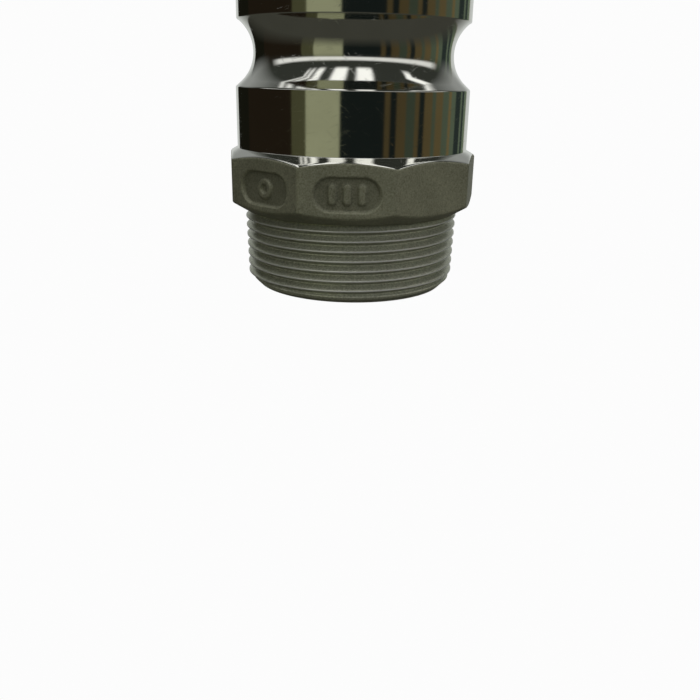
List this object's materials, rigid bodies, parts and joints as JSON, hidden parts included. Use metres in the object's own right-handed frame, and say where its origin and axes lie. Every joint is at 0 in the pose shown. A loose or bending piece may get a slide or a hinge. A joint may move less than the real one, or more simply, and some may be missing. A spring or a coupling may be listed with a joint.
{
  "type": "camlock adapter",
  "caption": "Cam-and-groove pipe adapter, male groove by male taper pipe thread, with turned collar, nine wrench flats, recessed panels and an open through-bore.",
  "frame": {"origin": "on the bore axis, in the plane of the threaded end face", "axes": "+Z along the bore axis, from the threaded end towards the cam-groove head; -Y faces the flat with the longer row of marks, within 4 degrees"},
  "size_m": [0.0854, 0.0851, 0.101],
  "materials": {
    "stainless_casting": "one stainless casting: mirror-turned collar, groove and head, bead-blasted wrench section, machined thread"
  },
  "bodies": {
    "root": {"adapter_body": "stainless_casting"}
  },
  "joints": []
}
